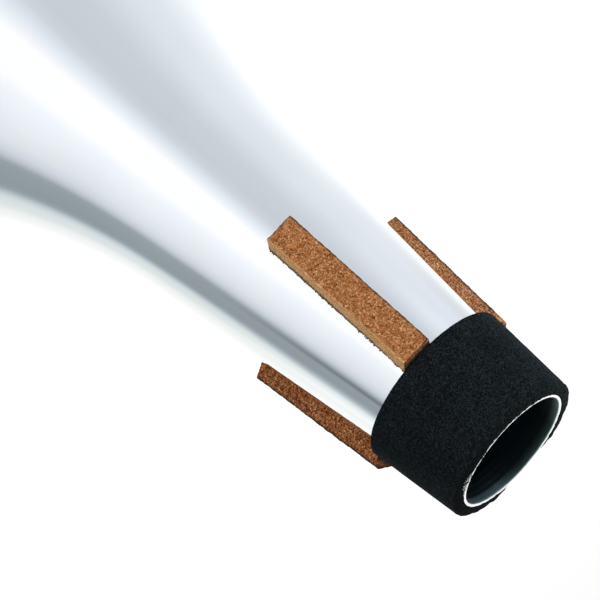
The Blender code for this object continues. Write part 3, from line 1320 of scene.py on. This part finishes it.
@dataclass
class CorkStrip:
    """A cork strip that is glued lengthways to the neck, behind the sleeve.

    It starts as an even block of small steps: across, up and along from the sleeve.
    """

    neck: Neck
    node: str
    azimuth_degrees: float
    length: float
    start_depth: float
    width: float = 0.0094
    thickness: float = 0.0053
    skew: float = 0.0
    lean: float = 0.0
    overhang: float = 0.0
    slant: float = 0.0
    cut_reach: float = 0.008
    # Positive makes the sides paler, as sawn cork is; negative darkens them as painted shade.
    side_tone_and_shade: float = -0.6
    taper: float = 0.0
    # How high the strip is darker at its foot.
    foot_dark_reach: float = 0.0012
    # How high painted shade reaches on the end at the sleeve.
    end_shade_height: float = 0.0038
    # Positive makes the end at the sleeve paler, as fresh-cut cork is; negative darkens it as
    # painted shade.
    end_tone_and_shade: float = -0.8
    # The share of the foot's darkening that is left at the sleeve end.
    least_foot_dark: float = 0.55
    fresh_reach: float = 0.0
    rounding: float = 0.00035
    glue_film: float = 0.00006
    spacing: float = 0.00029
    raised_from: float = 0.55
    side_fade: float = 0.42
    side_steps: float = 2.0
    foot_strength: float = 1.2
    # Over how much height the painted shade on the end fades.
    end_shade_fade: float = 0.0006
    fresh_strength: float = 1.6
    # How dark the crumbs at the foot are.
    crumb_darkening: float = 0.7
    crumb_inset: float = 0.0001
    crumb_lift: float = 0.00015
    crumb_points: int = 25
    crumb_sizes: CrumbSizes = CrumbSizes(0.0006, 0.00006, 0.00024, 0.00014)
    edge_grime: tuple[float, ...] = (1.0, 0.65, 0.15)
    wall_grime: tuple[float, ...] = (0.0, 1.0, 0.5, 0.25)

    @cached_property
    def most(self) -> Step:
        """The number of steps across, up and along."""
        sizes = (self.width, self.thickness, self.length)
        return tuple(max(2, round(size / self.spacing)) for size in sizes)

    def place(self, across: float, along: float, height: float) -> Vector:
        """A point of the strip.

        Args:
            across: The distance from the strip's middle line, round the neck.
            along: The distance from the end at the sleeve.
            height: The height above the neck's own line.

        Returns:
            The point in the mute's frame.
        """
        turn = math.radians(self.azimuth_degrees)
        lean = math.cos(math.radians(self.neck.angle_degrees))
        middle = self.neck.point(turn, self.start_depth + along * lean, height / lean)
        return middle + spoke(turn + math.pi / 2) * across

    def bed(self, across: float, along: float) -> float:
        """The height of the neck's surface under a point, which falls away to the sides."""
        radius = self.neck.radius(self.start_depth + along)
        return math.sqrt(radius * radius - across * across) - radius + self.glue_film

    def cut(self, across: float, share: float, along: float) -> Span:
        """Where an unevenly cut strip has a point of the even block.

        Args:
            across: The point's distance from the middle line.
            share: Its height as a share of the thickness.
            along: Its distance from the end at the sleeve.

        Returns:
            The distances across and along in the cut strip.
        """
        towards_mouth = max(0.0, 1.0 - along / self.cut_reach)
        towards_bowl = max(0.0, 1.0 - (self.length - along) / self.cut_reach)
        raised = max(0.0, (share - self.raised_from) / (1.0 - self.raised_from))
        moved = self.slant * (1.0 - share) * towards_bowl - self.overhang * raised * towards_mouth
        narrowed = self.lean * share * max(0.0, across) / (self.width / 2)
        turned = self.skew * (1.0 - 2.0 * along / self.length)
        return across - narrowed + turned, along + moved

    def shaped(self, key: Step) -> Vector:
        """The cut and rounded strip's point for a place of the block.

        Args:
            key: The steps across, up and along.

        Returns:
            The point in the mute's frame.
        """
        half = Vector((self.width, self.thickness, self.length)) / 2
        point = Vector([(step / most * 2 - 1) * h for step, most, h in zip(key, self.most, half)])
        inner = [h - self.rounding for h in half]
        core = Vector([held(p, -limit, limit) for p, limit in zip(point, inner)])
        rest = point - core
        if rest.length > SAME_POINT:
            point = core + rest.normalized() * self.rounding
        along = point.z + half.z
        share = (point.y + half.y) / self.thickness
        thickness = self.thickness + self.taper * (0.5 - along / self.length)
        height = share * thickness + (1 - share) * self.bed(point.x, along)
        return self.place(*self.cut(point.x, share, along), height)

    def build(self) -> Thing:
        """The strip as a finely divided block, whose granules stand out.

        Returns:
            The strip.
        """
        bm = bmesh.new()
        made: dict[Step, bmesh.types.BMVert] = {}
        for axis in range(3):
            first, second = [other for other in range(3) if other != axis]
            for side in (0, self.most[axis]):
                for i, j in np.ndindex(self.most[first], self.most[second]):
                    corners = []
                    for ahead, up in ((0, 0), (1, 0), (1, 1), (0, 1)):
                        steps = {axis: side, first: i + ahead, second: j + up}
                        key = (steps[0], steps[1], steps[2])
                        if key not in made:
                            made[key] = bm.verts.new(self.shaped(key))
                        corners.append(made[key])
                    bm.faces.new(corners).smooth = True
        bmesh.ops.recalc_face_normals(bm, faces=bm.faces)
        strip = dressed(f"{self.node}_granular", bm, (CORK.material,))
        self.mark(strip, Mark.SAWN, [self.sawn_tone_and_shade(key) for key in made])
        self.mark(strip, Mark.WORN, [self.worn_and_shaded_share(key) for key in made])
        return cork_relief(granule=0.0008, relief=0.00007, crumble=0.00050).run(strip)

    def mark(self, thing: Thing, mark: Mark, values: Sequence[float]) -> None:
        """Gives each vertex of an object its value of a mark."""
        attribute = thing.data.attributes.new(mark.value, "FLOAT", "POINT")
        attribute.data.foreach_set("value", values)

    def sawn_tone_and_shade(self, key: Step) -> float:
        """How much a place of the block takes the tone of the sawn sides, which is painted shade
        where it is negative.

        Args:
            key: The steps across, up and along.

        Returns:
            The tone of the sides, 0 on the ground face, and between them at the edges.
        """
        across, up, along = key
        if along == 0:
            return self.end_tone_and_shade
        if self.side_tone_and_shade > 0.0 and up == self.most[1]:
            return self.side_tone_and_shade * max(0.0, 1.0 - self.side_fade * (self.most[0] - across))
        tone = 0.0
        if across in (0, self.most[0]) or along == self.most[2]:
            tone = self.side_tone_and_shade * min(1.0, (self.most[1] - up) / self.side_steps)
        fresh = self.fresh(along / self.most[2])
        return tone * (1.0 - fresh) + self.end_tone_and_shade * fresh

    def worn_and_shaded_share(self, key: Step) -> float:
        """How dark a place of the block is: darker at the foot, painted shade low on the end at
        the sleeve, and grime at the edges of the ground face.

        Args:
            key: The steps across, up and along.

        Returns:
            The darkening, from 0 to 1 or a little more.
        """
        across, up, along = key
        height = self.thickness * up / self.most[1]
        share = along / self.most[2]
        # Darker at the foot, where the strip meets the metal.
        reach = self.foot_dark_reach * self.foot_dark_share(share)
        foot = self.foot_strength * (1.0 - height / reach)
        # Painted shade low on the end face beside the foam.
        if along == 0:
            foot = max(foot, min(1.0, (self.end_shade_height - height) / self.end_shade_fade))
        if across == self.most[0] and self.side_tone_and_shade > 0.0:
            return max(0.0, foot)
        rows = [across, self.most[2] - along]
        if self.side_tone_and_shade < 0.0:
            rows.append(self.most[0] - across)
        down = self.most[1] - up
        row, grime_and_shade = (down, self.wall_grime) if down else (min(rows), self.edge_grime)
        edge = grime_and_shade[row] if row < len(grime_and_shade) else 0.0
        return max(0.0, foot, edge * (1.0 - self.fresh(share)))

    def fresh(self, share: float) -> float:
        """How freshly cut a strip is at a share of the length from the sleeve."""
        if not self.fresh_reach:
            return 0.0
        return held(self.fresh_strength * (1.0 - share * self.length / self.fresh_reach))

    def foot_dark_share(self, share: float) -> float:
        """How much of the darkening at the foot is left at a share of the length from the sleeve.
        """
        return min(1.0, self.least_foot_dark + share)

    def crumbs(self, seed: int) -> list[Thing]:
        """The loose granules along the strip's lower edges, where it meets the metal.

        Args:
            seed: The seed of what is random.

        Returns:
            The granules of each side.
        """
        made = []
        start = self.neck.mouth_height - self.start_depth
        for number, side in enumerate((-1, 1)):
            across = side * (self.width / 2 - self.crumb_inset)
            low = self.bed(across, self.length / 2) + self.crumb_lift
            runs = np.linspace(0.0, self.length, self.crumb_points)
            points = [self.place(*self.cut(across, 0.0, run), low) for run in runs]
            guide = path_mesh(f"{self.node}_crumbs_{number}", points)
            name = f"cork crumbs {seed + number}"
            crumbs = crumbs_on_path(name, self.crumb_sizes, seed + number, CORK).run(guide)
            shares = [(start - vertex.co.z) / self.length for vertex in crumbs.data.vertices]
            # The crumbs are darkened as the foot beside them is.
            values = [self.crumb_darkening * self.foot_dark_share(share) for share in shares]
            self.mark(crumbs, Mark.WORN, values)
            made.append(crumbs)
        return made


@dataclass(frozen=True)
class GlueArc:
    """A crust of dried glue: its ends, its distance out from the neck and its largest crumbs."""

    from_degrees: float
    to_degrees: float
    out: float
    largest: float


@dataclass
class GlueResidue:
    """Dried glue where the sleeve's front meets the neck."""

    sleeve: Sleeve
    arcs: tuple[GlueArc, ...] = (
        GlueArc(313.0, 334.0, 0.00045, 0.00022),
        GlueArc(313.0, 333.0, 0.00080, 0.00024),
        GlueArc(315.0, 330.0, 0.00120, 0.00022),
        GlueArc(316.0, 325.0, 0.00155, 0.00016),
        GlueArc(331.0, 341.0, 0.00045, 0.00016),
        GlueArc(254.0, 260.0, 0.00060, 0.00017),
        GlueArc(232.0, 300.0, 0.00060, 0.00008),
    )
    sunk: float = 0.00008
    spacing: float = 0.00026
    least_share: float = 0.35
    scatter_share: float = 0.6
    first_seed: int = 3

    def build(self) -> list[Thing]:
        """A crust of crumbs along each arc of the joint.

        Returns:
            The crusts.
        """
        made = []
        for number, arc in enumerate(self.arcs):
            depth = self.sleeve.front_depth(arc.out) + self.sunk
            turns = np.radians(np.arange(arc.from_degrees, arc.to_degrees, 1.0))
            points = [self.sleeve.neck.point(turn, depth, arc.out) for turn in turns]
            guide = path_mesh(f"glue_residue_{number}", points)
            least, scatter = arc.largest * self.least_share, arc.largest * self.scatter_share
            sizes = CrumbSizes(self.spacing, least, arc.largest, scatter)
            seed = self.first_seed + number
            made.append(crumbs_on_path(f"glue crumbs {number}", sizes, seed, GLUE).run(guide))
        return made


# Studio


@dataclass(frozen=True)
class Cloth:
    """A run of the tent's cloth: its tint, and bearings seen from the mute with their levels."""

    tint: Tint
    levels: tuple[Span, ...]


@dataclass(frozen=True)
class Band:
    """An upright band of the tent that is darker or brighter than the cloth beside it."""

    bearing_degrees: float
    half_width_degrees: float
    fades_in_from: float
    full_from: float
    factor: float


@dataclass
class Studio:
    """A white tent with grey and dark cards, soft lamps, a pale floor and the camera."""

    mouth_height: float
    full_white: float = 1.12
    metal_white: float = 0.912
    fill: Span = (0.713, 0.2294)
    tent_radius: float = 0.20
    tent_from: float = -0.55
    tent_to: float = 0.80
    tent_segments: int = 96
    lean_degrees_per_metre: float = 130.0
    lean_about: float = 0.05
    lean_span: Span = (-0.25, 0.35)
    floor_size: float = 8.0
    floor_grey: float = 0.90
    floor_glow: float = 0.46
    camera_from_mouth: Triple = (0.06440, -0.48259, 0.14430)
    camera_turn_degrees: Triple = (-55.6285, -44.0513, 161.4783)
    lens_mm: float = 120.0
    sensor_mm: float = 36.0
    walls: tuple[Cloth, ...] = (
        Cloth(
            Tint.SLATE,
            ((0, 0.375), (4, 0.345), (17, 0.325), (21, 0.365), (24, 0.510), (27, 0.650)),
        ),
        Cloth(Tint.SEA, ((30, 0.730), (33, 0.765), (38, 0.790))),
        Cloth(Tint.LEAF, ((45, 0.880), (54, 0.930), (68, 0.975))),
        Cloth(Tint.PLAIN, ((80, 1.03), (138, 1.03))),
        Cloth(Tint.PALE, ((148, 0.985), (170, 0.885))),
        Cloth(
            Tint.COOL,
            (
                (188, 0.805),
                (206, 0.775),
                (222, 0.695),
                (232, 0.645),
                (252, 0.622),
                (261, 0.665),
                (270, 0.835),
            ),
        ),
        Cloth(Tint.PLAIN, ((280, 1.03), (309, 1.03))),
        Cloth(Tint.PALE, ((317, 0.945), (333, 0.855), (345, 0.775))),
        Cloth(Tint.COOL, ((352, 0.675), (356, 0.555))),
    )
    bands: tuple[Band, ...] = (
        Band(4.0, 5.0, 0.09, 0.18, 0.58),
        Band(26.0, 7.0, 0.08, 0.15, 0.86),
        Band(39.0, 13.0, 0.08, 0.16, 1.17),
        Band(160.0, 30.0, 0.07, 0.19, 0.79),
        Band(214.0, 24.0, 0.12, 0.19, 1.12),
    )

    def build(self) -> None:
        """The world, the tent, the floor, the lamps and the camera."""
        self.world()
        self.tent()
        self.floor()
        self.lamp("key_lamp", (-1.15, -0.95, 0.75), 1.1, 13.0)
        self.lamp("top_lamp", (0.25, 0.1, 1.9), 1.5, 3.0)
        self.lamp("front_lamp", (0.35, -1.35, 0.7), 1.1, 4.0)
        self.lamp("side_lamp", (1.3, -0.5, 0.9), 1.1, 1.4)
        self.camera()
        bpy.context.scene.view_settings.view_transform = "Standard"

    def world(self) -> None:
        """White to the camera and to the metal, and a softer white to matt surfaces."""
        world = bpy.data.worlds.new("studio_air")
        bpy.context.scene.world = world
        world.use_nodes = True
        wiring = Wiring(world.node_tree)
        rays = wiring.node("ShaderNodeLightPath").outputs
        seen = wiring.math("MAXIMUM", rays["Is Camera Ray"], rays["Is Transmission Ray"])
        seen = wiring.math("MAXIMUM", seen, rays["Is Glossy Ray"])
        way = wiring.split(wiring.node("ShaderNodeTexCoord").outputs["Generated"])["X"]
        level = wiring.remap(way, (-1.0, 1.0), self.fill)
        soft = wiring.node("ShaderNodeBackground", {"Color": WHITE, "Strength": level})
        white = wiring.node("ShaderNodeBackground", {"Color": WHITE, "Strength": 1.0})
        inputs = {0: seen, 1: soft.outputs[0], 2: white.outputs[0]}
        both = wiring.node("ShaderNodeMixShader", inputs)
        wiring.node("ShaderNodeOutputWorld", {"Surface": both.outputs[0]})

    def tent(self) -> None:
        """A round tent of cloth and cards, which only the glossy surfaces reflect."""
        bm = bmesh.new()
        bmesh.ops.create_cone(
            bm,
            segments=self.tent_segments,
            radius1=self.tent_radius,
            radius2=self.tent_radius,
            depth=self.tent_to - self.tent_from,
        )
        middle = (0.0, 0.0, (self.tent_to + self.tent_from) / 2)
        bmesh.ops.translate(bm, vec=middle, verts=bm.verts)
        bmesh.ops.create_circle(
            bm,
            cap_ends=True,
            cap_tris=True,
            segments=self.tent_segments,
            radius=self.tent_radius,
            matrix=Matrix.Translation((0.0, 0.0, self.tent_from)),
        )
        tent = dressed("light_tent", bm, (painted("tent_cloth", self.cloth),))
        tent.visible_camera = False
        tent.visible_diffuse = False
        tent.visible_transmission = False
        tent.visible_shadow = False
        tent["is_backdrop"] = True

    def tone(self, tint: Tint, level: float) -> Colour:
        """The colour of cloth that the metal shows at some level, as a share of full white."""
        factor = level / self.metal_white / self.full_white
        return tuple(min(1.0, factor * channel) for channel in tint.value)

    def cloth(self, wiring: Wiring) -> Socket:
        """The tent's glow by bearing and height.

        Args:
            wiring: The cloth's tree.

        Returns:
            The socket of its surface.
        """
        x, y, height = wiring.split(wiring.node("ShaderNodeTexCoord").outputs["Object"])
        side = wiring.math("DIVIDE", x, self.tent_radius)
        leaning = wiring.remap(side, (0.15, 0.50), (0.0, self.lean_degrees_per_metre / 360.0))
        reach = wiring.remap(height, self.lean_span, self.lean_span, smooth=False)
        lean = wiring.product(wiring.math("SUBTRACT", reach, self.lean_about), leaning)
        bearing = wiring.math("DIVIDE", wiring.math("ARCTAN2", y, x), math.tau)
        share = wiring.math("FRACT", wiring.total(bearing, lean, 1.0))
        stops = [
            (degrees / 360.0, self.tone(run.tint, level))
            for run in self.walls
            for degrees, level in run.levels
        ]
        stops.append((1.0, stops[0][1]))
        colour = wiring.ramp(share, stops)
        for band in self.bands:
            off = wiring.math("SUBTRACT", share, band.bearing_degrees / 360.0)
            width = band.half_width_degrees / 360.0
            near = wiring.remap(wiring.math("ABSOLUTE", off), (0.0, width), FALLING)
            high = wiring.remap(height, (band.fades_in_from, band.full_from))
            change = wiring.product(near, high, band.factor - 1.0)
            colour = wiring.scaled(colour, wiring.total(change, 1.0))
        inputs = {"Color": colour, "Strength": self.full_white}
        return wiring.node("ShaderNodeEmission", inputs).outputs[0]

    def floor(self) -> None:
        """A pale floor that keeps the mute's soft shadow."""
        bm = bmesh.new()
        bmesh.ops.create_grid(bm, x_segments=1, y_segments=1, size=self.floor_size / 2)
        floor = dressed("floor", bm, (painted("pale_floor", self.matt_white),))
        floor.visible_glossy = False
        floor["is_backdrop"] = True

    def matt_white(self, wiring: Wiring) -> Socket:
        """A matt surface that glows a little, but only to the camera.

        Args:
            wiring: The floor's tree.

        Returns:
            The socket of its surface.
        """
        matt = wiring.node("ShaderNodeBsdfDiffuse", {"Color": (self.floor_grey,) * 3}).outputs[0]
        inputs = {"Color": WHITE, "Strength": self.floor_glow}
        glow = wiring.node("ShaderNodeEmission", inputs).outputs[0]
        both = wiring.node("ShaderNodeAddShader", {0: matt, 1: glow}).outputs[0]
        seen = wiring.node("ShaderNodeLightPath").outputs["Is Camera Ray"]
        return wiring.node("ShaderNodeMixShader", {0: seen, 1: matt, 2: both}).outputs[0]

    def lamp(self, name: str, place: Triple, size: float, power: float) -> None:
        """A square lamp that faces the mute's middle and lights the matt surfaces only.

        Args:
            name: The lamp's name.
            place: Where it hangs.
            size: The length of its sides.
            power: Its power in watts.
        """
        data = bpy.data.lights.new(name, "AREA")
        data.size = size
        data.energy = power
        lamp = bpy.data.objects.new(name, data)
        aim = Vector((0.0, 0.0, self.mouth_height / 2)) - Vector(place)
        lamp.location = place
        lamp.rotation_euler = aim.to_track_quat("-Z", "Y").to_euler()
        lamp.visible_glossy = False
        bpy.context.scene.collection.objects.link(lamp)

    def camera(self) -> None:
        """The camera at the photograph's place, turned as the photograph is."""
        data = bpy.data.cameras.new("camera")
        data.lens = self.lens_mm
        data.sensor_width = self.sensor_mm
        data.clip_start = 0.01
        camera = bpy.data.objects.new("camera", data)
        camera.location = Vector(self.camera_from_mouth) + Vector((0.0, 0.0, self.mouth_height))
        camera.rotation_euler = Euler([math.radians(turn) for turn in self.camera_turn_degrees])
        bpy.context.scene.collection.objects.link(camera)
        bpy.context.scene.camera = camera


# The whole mute


@dataclass
class StraightMute:
    """The mute, built round the frame's nodes."""

    mouth_height: float
    strip_gap: float = 0.00012

    def strips(self, neck: Neck, start: float) -> list[CorkStrip]:
        """The three cork strips, each cut and glued a little differently.

        Args:
            neck: The neck that they are glued to.
            start: The depth of their ends at the sleeve.

        Returns:
            The strips.
        """
        # A negative side tone or end tone is painted shade.
        front = CorkStrip(
            neck,
            "cork_strip_front",
            270.0,
            length=0.0486,
            start_depth=start,
            width=0.0097,
            thickness=0.0050,
            skew=0.00044,
            lean=0.0010,
            side_tone_and_shade=1.0,
            foot_dark_reach=0.0028,
        )
        right = CorkStrip(
            neck,
            "cork_strip_right",
            29.1,
            length=0.0426,
            start_depth=start,
            thickness=0.00535,
            skew=-0.00045,
            overhang=0.0021,
            slant=0.0012,
            side_tone_and_shade=-1.0,
            taper=0.0005,
            foot_dark_reach=0.0004,
        )
        left = CorkStrip(
            neck,
            "cork_strip_left",
            156.2,
            length=0.0440,
            start_depth=start,
            overhang=0.0014,
            side_tone_and_shade=-0.4,
            taper=0.0003,
            end_shade_height=0.0005,
            end_tone_and_shade=0.35,
            fresh_reach=0.0045,
        )
        return [front, right, left]

    def add(self, piece: Thing, slot: Slot, *nodes: str) -> None:
        """Makes a piece part of the mute, and reports it.

        Args:
            piece: The finished piece.
            slot: The record's slot for the piece; it is not used.
            nodes: The frame's nodes that it stands for.
        """
        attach(piece, BODY)
        if nodes:
            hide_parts(*nodes)
        LOG.info("%s: %d faces", piece.name, len(piece.data.polygons))

    def build(self) -> None:
        """All pieces, from the metal outwards."""
        neck = Neck(self.mouth_height)
        shell = Shell(neck)
        self.add(shell.build(), Slot.SHELL, "cone_shell")
        foot_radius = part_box("base_plate")[1].x + shell.wall + BasePlate.gap
        self.add(BasePlate(shell, foot_radius).build(), Slot.PLATE, "base_plate")
        sleeve = Sleeve(neck)
        foam = sleeve.build()
        self.add(foam, Slot.FOAM, "foam_sleeve")
        for number, strip in enumerate(self.strips(neck, sleeve.back_depth + self.strip_gap)):
            self.add(strip.build(), Slot.CORK, strip.node)
            for crumbs in strip.crumbs(seed=10 * number + 1):
                self.add(crumbs, Slot.CORK)
        for residue in GlueResidue(sleeve).build():
            self.add(residue, Slot.FOAM)


def write_sizes(before: Sequence[Sequence[float]], after: Sequence[Sequence[float]]) -> None:
    """Args:
        before: The frame's box.
        after: The dressed mute's box.
    """
    boxes = {"cad": before, "visual": after}
    plain = {name: [list(map(float, corner)) for corner in box] for name, box in boxes.items()}


def main() -> None:
    """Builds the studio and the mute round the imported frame."""
    logging.basicConfig(level=logging.INFO, format="%(name)s: %(message)s")
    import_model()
    cad_box = [tuple(corner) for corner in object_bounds()]
    mouth_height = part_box("cone_shell")[1].z
    Studio(mouth_height).build()
    StraightMute(mouth_height).build()
    write_sizes(cad_box, [tuple(corner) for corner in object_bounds()])


if __name__ == "__main__":
    main()
